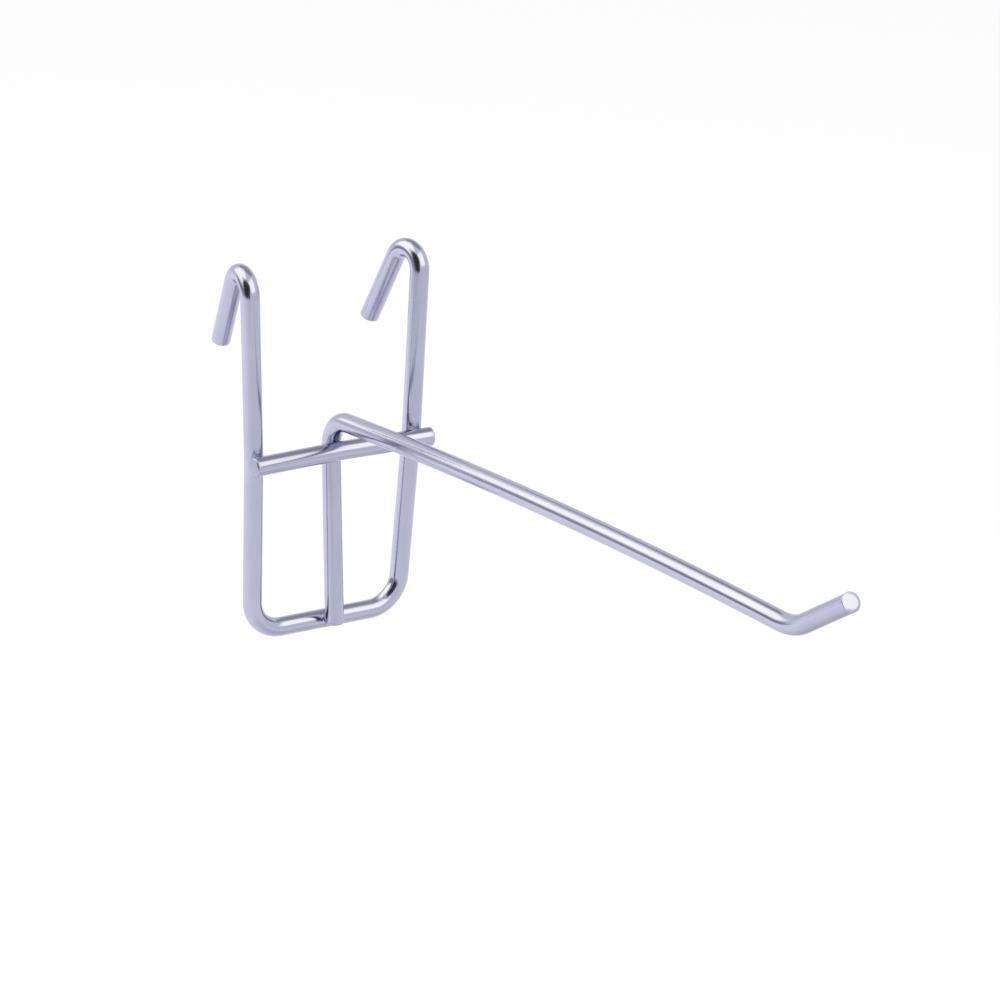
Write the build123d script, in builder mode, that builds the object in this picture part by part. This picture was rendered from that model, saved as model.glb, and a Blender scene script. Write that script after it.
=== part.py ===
from build123d import *
import os
from math import atan2, cos, degrees, radians, sin, tan

# Display hook for a wire grid panel: a bent frame wire with two hanging hooks,
# a cross bar welded over its front and a long prong that carries the goods.
# X to the right, Y into the panel, Z up; the origin is on the axis of the panel wire in the hooks.
# Lengths in millimetres along wire axes, angles in degrees.

# Wire; set_down is how deep two wires press into each other at a weld
wire_d = 5.0
set_down = 0.3
end_break = 0.35

# Frame wire
frame_w = 48.0
splay = 2.1
upper_h = 43.6
lower_h = 47.7
set_back = 2.7
corner_r = 8.9
knee_r = 20.0
hook_r = 5.1
hook_flare = 26.8
hook_toe = 7.1
hook_tip = 21.2

# Cross bar
bar_overhang = 3.1
bar_kink = 1.0
kink_r = 10.0

# Prong wire
foot_drop = 0.2
root_rise = 7.7
root_r = 8.1
arm_rise = 3.6
arm_fall = 4.7
arm_span = 186.5
tip_r = 17.5
tip_pitch = 31.5
tip_len = 19.3
tip_bevel = 0.75
tip_crown = 0.2

# Right half of the frame wire: foot, upright with its knee at the cross bar, hook.
up = Vector(tan(radians(splay)), 0, 1).normalized()
back = Vector(-sin(radians(hook_toe)), cos(radians(hook_toe)), 0)
back = (back - up * back.dot(up)).normalized()
seat = up * upper_h + back * hook_r
knee = Vector(frame_w / 2, -seat.Y, -seat.Z)
foot_mid = Vector(0, knee.Y + set_back, knee.Z - lower_h)
foot_end = foot_mid + Vector(knee.X - lower_h * tan(radians(splay)), 0, 0)
peak_len = hook_r * tan(radians(90 - hook_flare / 2))
peak = knee + up * (upper_h + peak_len)
tip_way = back * sin(radians(hook_flare)) - up * cos(radians(hook_flare))
hook_end = peak + tip_way * (peak_len + hook_tip)

with BuildLine() as frame_path:
    FilletPolyline(foot_mid, foot_end, knee, peak, hook_end, radius=(corner_r, knee_r, hook_r))

with BuildPart() as frame_wire:
    with BuildSketch(Plane(origin=frame_path.line @ 0, z_dir=frame_path.line % 0)):
        Circle(wire_d / 2)
    sweep(path=frame_path.line)
    mirror(about=Plane.YZ)
    chamfer(frame_wire.faces().filter_by(GeomType.PLANE).edges(), end_break)
frame_wire.part.label = "frame_wire"

# Prong wire: up the leg, over the cross bar, out along the arm and up at the tip; saddled on the foot.
weld_gap = wire_d - set_down
leg_shift = (bar_kink + weld_gap - set_back) / lower_h
leg_angle = 90 + degrees(atan2(leg_shift, 1))
root_len = root_r * tan(radians((leg_angle - arm_rise) / 2))
root_z = root_rise - root_len * sin(radians(leg_angle))
foot_z = -lower_h - foot_drop

with BuildLine(Plane(origin=(0, knee.Y, knee.Z), x_dir=(0, -1, 0), z_dir=(-1, 0, 0))) as prong_path:
    leg = Line((-bar_kink - leg_shift * foot_z, foot_z), (-bar_kink - leg_shift * root_z, root_z))
    bend = JernArc(leg @ 1, leg % 1, root_r, arm_rise - leg_angle)
    arm = JernArc(bend @ 1, bend % 1, arm_span / radians(arm_fall), -arm_fall)
    lift = JernArc(arm @ 1, arm % 1, tip_r, tip_pitch + arm_fall - arm_rise)
    Line(lift @ 1, (lift @ 1) + (lift % 1) * tip_len)

with BuildPart() as prong_wire:
    with BuildSketch(Plane(origin=prong_path.line @ 0, z_dir=prong_path.line % 0)):
        Circle(wire_d / 2)
    sweep(path=prong_path.line)
    ends = prong_wire.faces().filter_by(GeomType.PLANE).sort_by(Axis.Z)
    chamfer(ends[0].edges(), end_break)
    chamfer(ends[-1].edges(), tip_bevel, tip_crown, reference=ends[-1])
    add(frame_wire.part, mode=Mode.SUBTRACT)
prong_wire.part.label = "prong_wire"

# Cross bar: in front of the uprights, kinked back to the leg, with a saddle at each weld.
bar_end = Vector(frame_w / 2, knee.Y - weld_gap, knee.Z)
bar_mid = Vector(0, bar_end.Y + bar_kink, knee.Z)
bar_tip = bar_end + (bar_end - bar_mid).normalized() * bar_overhang

with BuildLine() as bar_path:
    FilletPolyline((-bar_tip.X, bar_tip.Y, bar_tip.Z), bar_mid, bar_tip, radius=kink_r)

with BuildPart() as cross_bar:
    with BuildSketch(Plane(origin=bar_path.line @ 0, z_dir=bar_path.line % 0)):
        Circle(wire_d / 2)
    sweep(path=bar_path.line)
    chamfer(cross_bar.faces().filter_by(GeomType.PLANE).edges(), end_break)
    add([frame_wire.part, prong_wire.part], mode=Mode.SUBTRACT)
cross_bar.part.label = "cross_bar"

os.makedirs("parts", exist_ok=True)
for piece in (frame_wire, cross_bar, prong_wire):
    export_step(piece.part, f"parts/{piece.part.label}.step")
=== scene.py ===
from collections import namedtuple
from math import atan2, cos, degrees, pi, radians, sin, sqrt, tan

import bmesh
import bpy
from mathutils import Matrix, Vector, noise


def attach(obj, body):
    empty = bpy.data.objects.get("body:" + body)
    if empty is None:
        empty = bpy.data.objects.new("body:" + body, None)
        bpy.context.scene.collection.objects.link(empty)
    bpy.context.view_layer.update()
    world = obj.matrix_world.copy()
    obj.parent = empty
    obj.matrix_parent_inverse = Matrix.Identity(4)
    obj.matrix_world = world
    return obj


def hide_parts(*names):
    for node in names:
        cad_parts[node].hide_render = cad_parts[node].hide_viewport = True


# Chrome-plated display hook: three wires that are drawn, bent, cut, welded together and plated.
# Metres and degrees, in the part's own frame: X right, Y into the panel, Z up.

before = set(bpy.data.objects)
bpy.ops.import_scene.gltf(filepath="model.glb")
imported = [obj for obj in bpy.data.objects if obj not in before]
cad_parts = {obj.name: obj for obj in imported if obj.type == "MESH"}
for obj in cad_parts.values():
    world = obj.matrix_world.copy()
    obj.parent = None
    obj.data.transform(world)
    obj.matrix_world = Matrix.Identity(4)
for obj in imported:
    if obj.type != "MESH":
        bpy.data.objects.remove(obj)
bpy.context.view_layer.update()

Cut = namedtuple("Cut", "width depth dull")
Ring = namedtuple("Ring", "place way radius dull")
Weld = namedtuple("Weld", "middle facing own_axis")
Grain = namedtuple("Grain", "stretch scale detail")

# Wire; SET_DOWN is how deep two wires press into each other at a weld
WIRE_R = 0.0025
SET_DOWN = 0.0003

# Frame wire
FRAME_W = 0.048
SPLAY = 2.1
UPPER_H = 0.0436
LOWER_H = 0.0477
SET_BACK = 0.0027
CORNER_R = 0.0089
KNEE_R = 0.020
HOOK_R = 0.0051
HOOK_FLARE = 26.8
HOOK_TOE = 7.1
HOOK_TIP = 0.0212

# Cross bar
BAR_OVERHANG = 0.0031
BAR_KINK = 0.001
KINK_R = 0.010

# Prong wire
FOOT_DROP = 0.0002
ROOT_RISE = 0.0077
ROOT_R = 0.0081
ARM_RISE = 3.6
ARM_FALL = 4.7
ARM_SPAN = 0.1865
TIP_R = 0.0175
TIP_PITCH = 31.5
TIP_LEN = 0.0193
TIP_BEVEL = 0.00075
TIP_CROWN = 0.0002

# Wire ends: a cut has the width and depth of its broken edge, and how dull it is;
# plain rings of wire begin END_CLEAR past that edge
END_BREAK = 0.00035
EDGE_ROUND = 0.00012
END_CLEAR = 2 * EDGE_ROUND
SHEARED = Cut(END_BREAK, END_BREAK, 1.0)
TURNED = Cut(TIP_BEVEL, TIP_CROWN, 0.15)

# Welds: metal pressed out of the joint, full to FILL_R from its middle and gone by about LIP_R
FILL_R = 0.0013
LIP_R = 0.0024
LIP_WOBBLE = 0.0004
LIP_RIPPLES = 1.7
WELD_SEED = 900

# Mesh; the foot bar has close rings up to WELD_REACH from its weld
SIDES = 96
RUN_STEP = 0.0015
RUN_PARTS = 24
TURN_STEP = 3.0
TURN_PARTS = 4
ROUND_PARTS = 4
WELD_REACH = 0.003
SHARP_EDGE = 28

# Plating: noise mostly keeps within NOISE_SPAN
CHROME_DEEP = (0.425, 0.428, 0.572, 1)
CHROME_PALE = (0.465, 0.466, 0.612, 1)
CHROME_EDGE = (0.86, 0.86, 0.86, 1)
GLOSS = (0.15, 0.24)
DULL_HAZE = 0.26
ROLL_DEPTH = 0.00006
LINE_DEPTH = 0.000002
DRAW_LINES = Grain((1, 1, 0.015), 2600, 3)
ROLLS = Grain((0.4, 0.4, 1), 60, 1)
BLOOM = Grain((1, 1, 0.4), 180, 4)
NOISE_SPAN = (0.3, 0.7)

# Camera
AZIMUTH = -34.261
ELEVATION = 18.396
ROLL = 1.513
DISTANCE = 1.39587
AIM = Vector((0.03368, -0.03282, -0.05555))
LENS_MM = 194.47
SENSOR_MM = 36.0

# Floor: a painted slope of light, brighter towards the back, and a round painted shadow change only how
# bright the metal mirrors it
FLOOR_Z = -0.26
FLOOR_R = 30.0
FLOOR_SIDES = 128
FLOOR_COLOUR = (0.3, 0.3, 0.335, 1)
FLOOR_GLOW = 0.83
# Painted light: the metal sees the floor brighter towards this side, over this reach and by these amounts
FLOOR_PAINTED_BRIGHT_SIDE = -172
FLOOR_REACH = 0.62
FLOOR_PAINTED_SLOPE = (-0.05, 0.31)
# Painted shadow: a round darker place on the floor, seen only in the metal
SHADOW_POOL_PLACE = (0.07, -0.1, FLOOR_Z)
SHADOW_POOL_R = 0.2
SHADOW_POOL_DEPTH = 0.4

# Light: the lamps are yellowish, so that the cool grey plating mirrors them as nearly white
WHITE = (1, 1, 1, 1)
AMBIENT = 0.4
CENTRE = Vector((0, -0.1, -0.045))
LAMP_DISTANCE = 1.2
LAMP_TINT = (1.0, 1.0, 0.64)


def toward(azimuth, elevation):
    a, e = radians(azimuth), radians(elevation)
    return Vector((sin(a) * cos(e), -cos(a) * cos(e), sin(e)))


def mirrored(point):
    """The same point on the other half of the hook."""
    return Vector((-point.x, point.y, point.z))


def to_mesh(bm, name):
    """The finished mesh of a bmesh, which is then freed."""
    mesh = bpy.data.meshes.new(name)
    bm.to_mesh(mesh)
    bm.free()
    return mesh


def wire_path(points, radii):
    """(place, direction) of each ring of a wire that bends at its inner points with these radii."""
    rings = []
    start = points[0]
    ahead = (points[1] - points[0]).normalized()
    for i, radius in enumerate(list(radii) + [0.0]):
        corner = points[i + 1]
        last = i + 2 == len(points)
        after = ahead if last else (points[i + 2] - corner).normalized()
        turn = ahead.angle(after)
        end = corner - ahead * (radius * tan(turn / 2))
        length = (end - start).length
        parts = max(RUN_PARTS, round(length / RUN_STEP)) if length > EDGE_ROUND else 0
        rings += [(start.lerp(end, k / parts), ahead) for k in range(parts)]
        if radius:
            inward = (after - ahead * cos(turn)).normalized()
            steps = max(TURN_PARTS, round(degrees(turn) / TURN_STEP), round(radius * turn / RUN_STEP))
            for k in range(steps):
                a = turn * k / steps
                place = end + ahead * (radius * sin(a)) + inward * (radius * (1 - cos(a)))
                rings.append((place, ahead * cos(a) + inward * sin(a)))
            end = corner + after * (radius * tan(turn / 2))
        start, ahead = end, after
    rings.append((start, ahead))
    return rings


def cut_end(cut):
    """(depth, radius) of the rings round a cut end, from its flat face over the bevel to the full wire."""
    slope = Vector((cut.depth, cut.width)).normalized()
    face_rim = (Vector((0, WIRE_R - cut.width)), Vector((0, 1)), slope)
    wire_rim = (Vector((cut.depth, WIRE_R)), slope, Vector((1, 0)))
    rings = []
    for corner, before, after in (face_rim, wire_rim):
        start, end = corner - before * EDGE_ROUND, corner + after * EDGE_ROUND
        for k in range(ROUND_PARTS + 1):
            t = k / ROUND_PARTS
            rings.append(start.lerp(corner, t).lerp(corner.lerp(end, t), t))
    return [tuple(ring) for ring in rings]


def wire_rings(path, start_cut, end_cut):
    """The rings of a wire along the path, with its two cut ends."""
    (first, out), (last, away) = path[0], path[-1]
    head = start_cut.depth + END_CLEAR
    tail = end_cut.depth + END_CLEAR
    rings = [Ring(first + out * depth, out, radius, start_cut.dull) for depth, radius in cut_end(start_cut)]
    rings += [
        Ring(place, way, WIRE_R, 0.0)
        for place, way in path[1:-1]
        if (place - first).length > head and (place - last).length > tail
    ]
    rings += [
        Ring(last - away * depth, away, radius, end_cut.dull)
        for depth, radius in reversed(cut_end(end_cut))
    ]
    return rings


def recess(offset):
    """How far a round wire's surface falls away, sideways from its crown."""
    return WIRE_R - sqrt(max(WIRE_R**2 - offset**2, 0.0))


def press_out(place, welds):
    """(place, share) of a surface point after welding, where metal swells towards the other wire."""
    for weld in welds:
        from_middle = place - weld.middle
        along = from_middle.dot(weld.own_axis)
        across = from_middle.dot(weld.facing.cross(weld.own_axis))
        spread = sqrt(along**2 + across**2)
        if spread > LIP_R + LIP_WOBBLE or from_middle.dot(weld.facing) < -WIRE_R:
            continue
        ripple = noise.noise(from_middle / LIP_R * LIP_RIPPLES + weld.middle * WELD_SEED)
        lip = LIP_R + LIP_WOBBLE * ripple
        share = min(max((lip - spread) / (lip - FILL_R), 0.0), 1.0)
        share = share * share * (3 - 2 * share)
        gap = recess(along) + recess(across) - SET_DOWN
        return place + weld.facing * (max(gap, 0.0) * share), share
    return place, 0.0


def wire(node, path, start_cut, end_cut, material, welds=()):
    """A closed mesh of round wire, cut, welded and plated, in place of its CAD node.

    Each vertex keeps its place on the wire before bending, and how far cutting or welding dulled it."""
    bm = bmesh.new()
    straight = bm.verts.layers.float_vector.new("straight_wire")
    dulled = bm.verts.layers.float.new("dulled")
    rings = wire_rings(path, start_cut, end_cut)
    before = rings[0]
    side = before.way.orthogonal().normalized()
    along = 0.0
    loops = []
    for ring in rings:
        side.rotate(before.way.rotation_difference(ring.way))
        side = (side - ring.way * side.dot(ring.way)).normalized()
        third = ring.way.cross(side)
        along += (ring.place - before.place).length
        loop = []
        for k in range(SIDES):
            a = 2 * pi * k / SIDES
            round_wire = ring.place + (side * cos(a) + third * sin(a)) * ring.radius
            spot, share = press_out(round_wire, welds)
            vert = bm.verts.new(spot)
            vert[straight] = (ring.radius * cos(a), ring.radius * sin(a), along)
            vert[dulled] = max(share, ring.dull)
            loop.append(vert)
        loops.append(loop)
        before = ring
    for one, two in zip(loops, loops[1:]):
        for k in range(SIDES):
            bm.faces.new((one[k - 1], one[k], two[k], two[k - 1]))
    bm.faces.new(reversed(loops[0]))
    bm.faces.new(loops[-1])
    bmesh.ops.recalc_face_normals(bm, faces=bm.faces)

    mesh = to_mesh(bm, node + "_plated")
    mesh.shade_smooth()
    mesh.set_sharp_from_angle(angle=radians(SHARP_EDGE))
    mesh.materials.append(material)
    piece = bpy.data.objects.new(mesh.name, mesh)
    bpy.context.scene.collection.objects.link(piece)
    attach(piece, "root")
    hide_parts(node)


def build_wires(chrome):
    """The three wires of the hook, bent and welded as in the CAD, from the right upright's knee."""
    up = Vector((tan(radians(SPLAY)), 0, 1)).normalized()
    toed_in = Vector((-sin(radians(HOOK_TOE)), cos(radians(HOOK_TOE)), 0))
    back = (toed_in - up * toed_in.dot(up)).normalized()
    seat = up * UPPER_H + back * HOOK_R
    knee = Vector((FRAME_W / 2, -seat.y, -seat.z))
    weld_gap = 2 * WIRE_R - SET_DOWN
    build_frame_wire(knee, up, back, weld_gap, chrome)
    build_cross_bar(knee, weld_gap, chrome)
    build_prong_wire(knee, weld_gap, chrome)


def build_frame_wire(knee, up, back, weld_gap, chrome):
    """Foot, uprights with their knees, and the hooks, from the tip of one hook to the other's."""
    foot_mid = Vector((0, knee.y + SET_BACK, knee.z - LOWER_H))
    foot_end = foot_mid + Vector((knee.x - LOWER_H * tan(radians(SPLAY)), 0, 0))
    peak_len = HOOK_R * tan(radians(90 - HOOK_FLARE / 2))
    peak = knee + up * (UPPER_H + peak_len)
    tip_way = back * sin(radians(HOOK_FLARE)) - up * cos(radians(HOOK_FLARE))
    hook_end = peak + tip_way * (peak_len + HOOK_TIP)
    right = [foot_mid + Vector((WELD_REACH, 0, 0)), foot_end, knee, peak, hook_end]
    left = [mirrored(point) for point in reversed(right)]
    bends = (CORNER_R, KNEE_R, HOOK_R)
    path = wire_path(left + right, (*reversed(bends), 0.0, 0.0, *bends))
    at_leg = foot_mid - Vector((0, weld_gap / 2, 0))
    welds = [Weld(at_leg, Vector((0, -1, 0)), Vector((1, 0, 0)))]
    wire("frame_wire", path, SHEARED, SHEARED, chrome, welds)


def build_cross_bar(knee, weld_gap, chrome):
    """The bar in front of the uprights, kinked back to the leg, with a weld on each of the three."""
    bar_end = Vector((FRAME_W / 2, knee.y - weld_gap, knee.z))
    bar_mid = Vector((0, bar_end.y + BAR_KINK, knee.z))
    bar_tip = bar_end + (bar_end - bar_mid).normalized() * BAR_OVERHANG
    path = wire_path([mirrored(bar_tip), bar_mid, bar_tip], (KINK_R,))
    to_weld = Vector((0, weld_gap / 2, 0))
    welds = [
        Weld(spot + to_weld, Vector((0, 1, 0)), Vector((1, 0, 0)))
        for spot in (mirrored(bar_end), bar_mid, bar_end)
    ]
    wire("cross_bar", path, SHEARED, SHEARED, chrome, welds)


def build_prong_wire(knee, weld_gap, chrome):
    """Up the leg, over the cross bar, out along the bowed arm and up at the tip."""
    leg_shift = (BAR_KINK + weld_gap - SET_BACK) / LOWER_H
    leg_angle = 90 + degrees(atan2(leg_shift, 1))

    def ahead_of(point, angle, length):
        return point + Vector((0, -cos(radians(angle)), sin(radians(angle)))) * length

    root = Vector((0, knee.y + BAR_KINK + leg_shift * ROOT_RISE, knee.z + ROOT_RISE))
    foot = ahead_of(root, leg_angle, -(ROOT_RISE + LOWER_H + FOOT_DROP) / sin(radians(leg_angle)))
    arm_r = ARM_SPAN / radians(ARM_FALL)
    arm_half = arm_r * tan(radians(ARM_FALL / 2))
    root_half = ROOT_R * tan(radians((leg_angle - ARM_RISE) / 2))
    tip_half = TIP_R * tan(radians((TIP_PITCH + ARM_FALL - ARM_RISE) / 2))
    crest = ahead_of(root, ARM_RISE, root_half + arm_half)
    dip = ahead_of(crest, ARM_RISE - ARM_FALL, arm_half + tip_half)
    tip = ahead_of(dip, TIP_PITCH, tip_half + TIP_LEN)
    path = wire_path([foot, root, crest, dip, tip], (ROOT_R, arm_r, TIP_R))
    wire("prong_wire", path, SHEARED, TURNED, chrome)


def add_node(tree, kind, inputs=None, **settings):
    """A new node with its settings, and its inputs set to a value or linked to another node's output."""
    node = tree.nodes.new(kind)
    for name, value in settings.items():
        setattr(node, name, value)
    for name, value in (inputs or {}).items():
        if isinstance(value, bpy.types.NodeSocket):
            tree.links.new(value, node.inputs[name])
        else:
            node.inputs[name].default_value = value
    return node


def add_math(tree, operation, *values, clamp=False):
    """The output of a new math node on these numbers and outputs."""
    inputs = dict(enumerate(values))
    return add_node(tree, "ShaderNodeMath", inputs, operation=operation, use_clamp=clamp).outputs["Value"]


def chrome_plating():
    """Bright chrome on drawn wire, hazy at welds and cuts.

    It has fine lines along the wire, soft rolls from straightening and a faint change of tint."""
    material = bpy.data.materials.new("chrome_plated_wire")
    material.use_nodes = True
    tree = material.node_tree
    place = add_node(tree, "ShaderNodeAttribute", attribute_name="straight_wire").outputs["Vector"]
    dulled = add_node(tree, "ShaderNodeAttribute", attribute_name="dulled").outputs["Fac"]

    def noise_of(grain):
        spread = add_node(tree, "ShaderNodeMapping", {"Vector": place, "Scale": grain.stretch})
        inputs = {"Vector": spread.outputs["Vector"], "Scale": grain.scale, "Detail": grain.detail}
        return add_node(tree, "ShaderNodeTexNoise", inputs).outputs["Fac"]

    def spread_over(value, low, high):
        inputs = {"Value": value, "To Min": low, "To Max": high}
        inputs["From Min"], inputs["From Max"] = NOISE_SPAN
        return add_node(tree, "ShaderNodeMapRange", inputs).outputs["Result"]

    lines = noise_of(DRAW_LINES)
    rolls = noise_of(ROLLS)
    bloom = noise_of(BLOOM)

    tint = add_node(tree, "ShaderNodeValToRGB", {"Fac": spread_over(bloom, 0, 1)})
    tint.color_ramp.elements[0].color = CHROME_DEEP
    tint.color_ramp.elements[1].color = CHROME_PALE
    haze = add_math(tree, "MULTIPLY_ADD", dulled, DULL_HAZE, spread_over(lines, *GLOSS))
    rolled = add_node(tree, "ShaderNodeBump", {"Height": rolls, "Distance": ROLL_DEPTH})
    lined = {"Height": lines, "Distance": LINE_DEPTH, "Normal": rolled.outputs["Normal"]}
    surface = add_node(tree, "ShaderNodeBump", lined)

    shader = tree.nodes["Principled BSDF"]
    shader.inputs["Metallic"].default_value = 1.0
    shader.inputs["Specular Tint"].default_value = CHROME_EDGE
    tree.links.new(tint.outputs["Color"], shader.inputs["Base Color"])
    tree.links.new(haze, shader.inputs["Roughness"])
    tree.links.new(surface.outputs["Normal"], shader.inputs["Normal"])
    return material


def seen(tree):
    """1 for what the eye sees, also by way of metal or glass, and 0 for light on its way to a surface."""
    path = add_node(tree, "ShaderNodeLightPath").outputs
    eye_or_metal = add_math(tree, "ADD", path["Is Camera Ray"], path["Is Glossy Ray"])
    return add_math(tree, "ADD", eye_or_metal, path["Is Transmission Ray"], clamp=True)


def bare_material(name):
    """A new material with only its output node."""
    material = bpy.data.materials.new(name)
    material.use_nodes = True
    material.node_tree.nodes.remove(material.node_tree.nodes["Principled BSDF"])
    return material


def set_surface(tree, shader):
    """Makes a shader's output the material's surface."""
    tree.links.new(shader, tree.nodes["Material Output"].inputs["Surface"])


def stage_object(name, mesh, material):
    """A part of the studio, which doesn't belong to the hook."""
    mesh.materials.append(material)
    thing = bpy.data.objects.new(name, mesh)
    bpy.context.scene.collection.objects.link(thing)
    return thing


def painted_floor_light_and_shade(tree):
    """How much brighter or darker the metal mirrors the floor: painted light in a slope to the back, less a
    round painted shadow.
    """
    spot = add_node(tree, "ShaderNodeTexCoord").outputs["Object"]
    to_back = {0: spot, 1: toward(FLOOR_PAINTED_BRIGHT_SIDE, 0)}
    way_back = add_node(tree, "ShaderNodeVectorMath", to_back, operation="DOT_PRODUCT").outputs["Value"]
    sloped = {"Value": way_back, "From Min": -FLOOR_REACH, "From Max": FLOOR_REACH}
    sloped["To Min"], sloped["To Max"] = FLOOR_PAINTED_SLOPE
    slope = add_node(tree, "ShaderNodeMapRange", sloped).outputs["Result"]
    # The round painted shadow, darker towards its middle
    to_shadow_pool = {"Vector": spot, "Location": SHADOW_POOL_PLACE, "Scale": (SHADOW_POOL_R,) * 3}
    near = add_node(tree, "ShaderNodeMapping", to_shadow_pool, vector_type="TEXTURE").outputs["Vector"]
    shadow_pool = add_node(tree, "ShaderNodeTexGradient", {"Vector": near}, gradient_type="SPHERICAL")
    return add_math(tree, "MULTIPLY_ADD", shadow_pool.outputs["Fac"], -SHADOW_POOL_DEPTH, slope)


def build_floor():
    """A wide floor that looks white, keeps the hook's soft shadow and carries painted light and shadow that
    only the metal mirrors.
    """
    material = bare_material("white_floor")
    tree = material.node_tree
    lit = add_node(tree, "ShaderNodeBsdfDiffuse", {"Color": FLOOR_COLOUR})
    in_metal = add_node(tree, "ShaderNodeLightPath").outputs["Is Glossy Ray"]
    # Rays from the metal get the painted floor light and shadow on top of the even glow
    shaded = add_math(tree, "MULTIPLY_ADD", in_metal, painted_floor_light_and_shade(tree), FLOOR_GLOW)
    level = add_math(tree, "MULTIPLY", seen(tree), shaded)
    glow = add_node(tree, "ShaderNodeEmission", {"Strength": level})
    both = add_node(tree, "ShaderNodeAddShader", {0: lit.outputs["BSDF"], 1: glow.outputs["Emission"]})
    set_surface(tree, both.outputs["Shader"])

    bm = bmesh.new()
    bmesh.ops.create_circle(bm, cap_ends=True, radius=FLOOR_R, segments=FLOOR_SIDES)
    bmesh.ops.translate(bm, vec=(0, 0, FLOOR_Z), verts=bm.verts)
    stage_object("floor", to_mesh(bm, "floor"), material)


def build_world():
    """White all round to the eye and in the metal, and a softer light on other surfaces."""
    world = bpy.data.worlds.new("studio")
    world.use_nodes = True
    tree = world.node_tree
    level = add_node(tree, "ShaderNodeMapRange", {"Value": seen(tree), "To Min": AMBIENT, "To Max": 1.0})
    sky = tree.nodes["Background"]
    sky.inputs["Color"].default_value = WHITE
    tree.links.new(level.outputs["Result"], sky.inputs["Strength"])
    bpy.context.scene.world = world


def facing_hook(azimuth, elevation, distance):
    """The place of a lamp or card that stands off in that direction and faces the hook."""
    away = toward(azimuth, elevation)
    turn = away.to_track_quat("Z", "Y").to_matrix().to_4x4()
    return Matrix.Translation(CENTRE + away * distance) @ turn


def softbox(name, azimuth, elevation, width, height, level):
    """A lamp whose face adds that level to the white room behind it."""
    lamp = bpy.data.lights.new(name, "AREA")
    lamp.shape = "RECTANGLE"
    lamp.size, lamp.size_y = width, height
    lamp.energy = level * pi * width * height
    lamp.color = LAMP_TINT
    holder = bpy.data.objects.new(name, lamp)
    holder.matrix_world = facing_hook(azimuth, elevation, LAMP_DISTANCE)
    holder.visible_camera = False
    bpy.context.scene.collection.objects.link(holder)


def card(name, azimuth, elevation, distance, width, height, shade):
    """A dull card that only the metal sees, for the dark bands in its reflections."""
    material = bare_material(name)
    tree = material.node_tree
    face = add_node(tree, "ShaderNodeEmission", {"Color": (shade, shade, shade, 1)})
    set_surface(tree, face.outputs["Emission"])
    bm = bmesh.new()
    bmesh.ops.create_grid(bm, x_segments=1, y_segments=1, size=0.5)
    bmesh.ops.scale(bm, vec=(width, height, 1), verts=bm.verts)
    bmesh.ops.transform(bm, matrix=facing_hook(azimuth, elevation, distance), verts=bm.verts)
    thing = stage_object(name, to_mesh(bm, name), material)
    thing.visible_camera = False
    thing.visible_diffuse = False
    thing.visible_shadow = False
    thing.visible_transmission = False


def build_camera():
    """The photograph's view."""
    data = bpy.data.cameras.new("photo_view")
    data.sensor_width = SENSOR_MM
    data.lens = LENS_MM
    camera = bpy.data.objects.new("photo_view", data)
    away = toward(AZIMUTH, ELEVATION)
    turn = away.to_track_quat("Z", "Y").to_matrix().to_4x4() @ Matrix.Rotation(radians(ROLL), 4, "Z")
    camera.matrix_world = Matrix.Translation(AIM + away * DISTANCE) @ turn
    bpy.context.scene.collection.objects.link(camera)
    bpy.context.scene.camera = camera


build_wires(chrome_plating())
build_floor()
build_world()
softbox("front_softbox", azimuth=17, elevation=41, width=1.3, height=1.1, level=1.0)
softbox("left_softbox", azimuth=-133, elevation=47, width=1.3, height=1.5, level=1.04)
card("dark_front", azimuth=-65, elevation=21, distance=1.15, width=1.64, height=1.55, shade=0.04)
card("dark_left", azimuth=-121, elevation=0.5, distance=1.3, width=1.16, height=0.45, shade=0.36)
card("grey_back", azimuth=134, elevation=57, distance=2.2, width=2.4, height=1.8, shade=0.47)
build_camera()
bpy.context.scene.view_settings.view_transform = "Standard"
